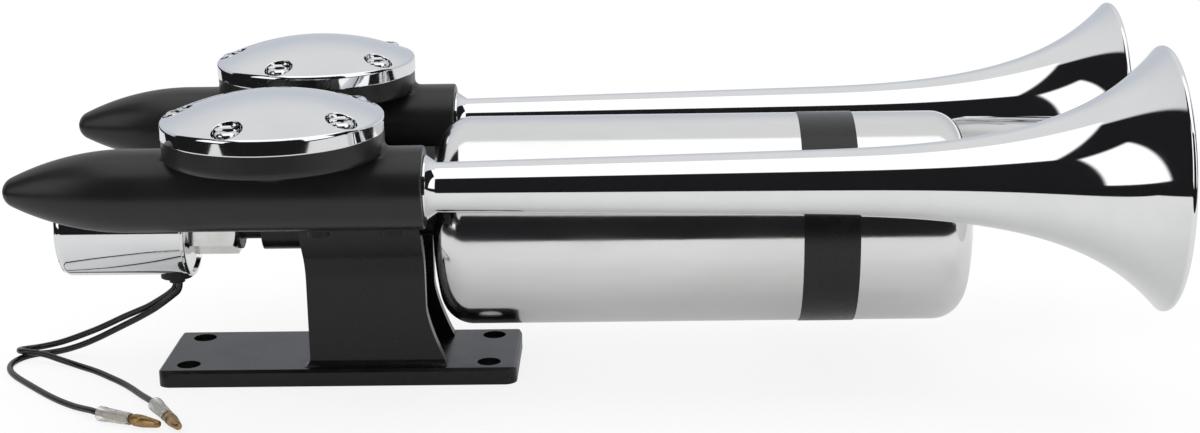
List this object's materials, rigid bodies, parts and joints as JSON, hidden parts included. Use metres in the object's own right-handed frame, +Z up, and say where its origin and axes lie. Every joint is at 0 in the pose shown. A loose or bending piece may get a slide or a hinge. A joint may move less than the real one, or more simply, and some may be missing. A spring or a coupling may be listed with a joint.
{
  "type": "truck air horn",
  "caption": "Twin trumpet air horn with an air tank and an electric valve on a cast base bracket with four bolt holes.",
  "frame": {"origin": "centre of the base plate's underside, which is also the centre of its bolt holes", "axes": "+X towards the bells, +Y towards the rear horn, +Z up"},
  "size_m": [0.467, 0.212, 0.141],
  "materials": {
    "bracket_black": "satin",
    "body_black": "gloss",
    "trumpet_chrome": "polished",
    "cap_chrome": "polished",
    "screw_steel": "bright",
    "dark_steel": "blackened",
    "spring_steel": "bright",
    "tank_chrome": "polished",
    "band_black": "plain film",
    "valve_nickel": "polished nickel",
    "can_chrome": "polished",
    "core_steel": "plain",
    "tube_brass": "plain",
    "bobbin_plastic": "matte",
    "coil_copper": "enamelled copper wire",
    "seal_rubber": "matte",
    "grommet_rubber": "matte",
    "wire_black": "soft satin",
    "sleeve_clear": "clear",
    "bullet_brass": "aged"
  },
  "bodies": {
    "base": {"bracket": "bracket_black", "horn_body_front": "body_black", "horn_body_rear": "body_black", "trumpet_front": "trumpet_chrome", "trumpet_rear": "trumpet_chrome", "diaphragm_seal_front": "seal_rubber", "diaphragm_seal_rear": "seal_rubber", "diaphragm_front": "spring_steel", "diaphragm_rear": "spring_steel", "cap_front": "cap_chrome", "cap_rear": "cap_chrome", "cap_screws_front": "screw_steel", "cap_screws_rear": "screw_steel", "horn_screws": "dark_steel", "port_seals": "seal_rubber", "tank": "tank_chrome", "tank_band": "band_black", "tank_neck": "dark_steel", "neck_seal": "seal_rubber", "valve_pipe": "dark_steel", "pipe_seal": "seal_rubber", "valve_nut": "dark_steel", "valve_body": "valve_nickel", "valve_can": "can_chrome", "end_plate": "can_chrome", "fixed_core": "core_steel", "guide_tube": "tube_brass", "bobbin": "bobbin_plastic", "coil": "coil_copper", "plunger_spring": "spring_steel", "grommet": "grommet_rubber", "wire_a": "wire_black", "wire_b": "wire_black", "sleeve_a": "sleeve_clear", "sleeve_b": "sleeve_clear", "bullet_a": "bullet_brass", "bullet_b": "bullet_brass"},
    "plunger": {"plunger": "core_steel", "plunger_pad": "seal_rubber"}
  },
  "joints": [
    {"name": "valve_stroke", "type": "slide", "parent": "base", "child": "plunger", "axis": [-1, 0, 0], "range_m": [0, 0.0025], "stiffness_N_per_m": 600, "springref_m": -0.003, "deforming": ["plunger_spring"]}
  ]
}
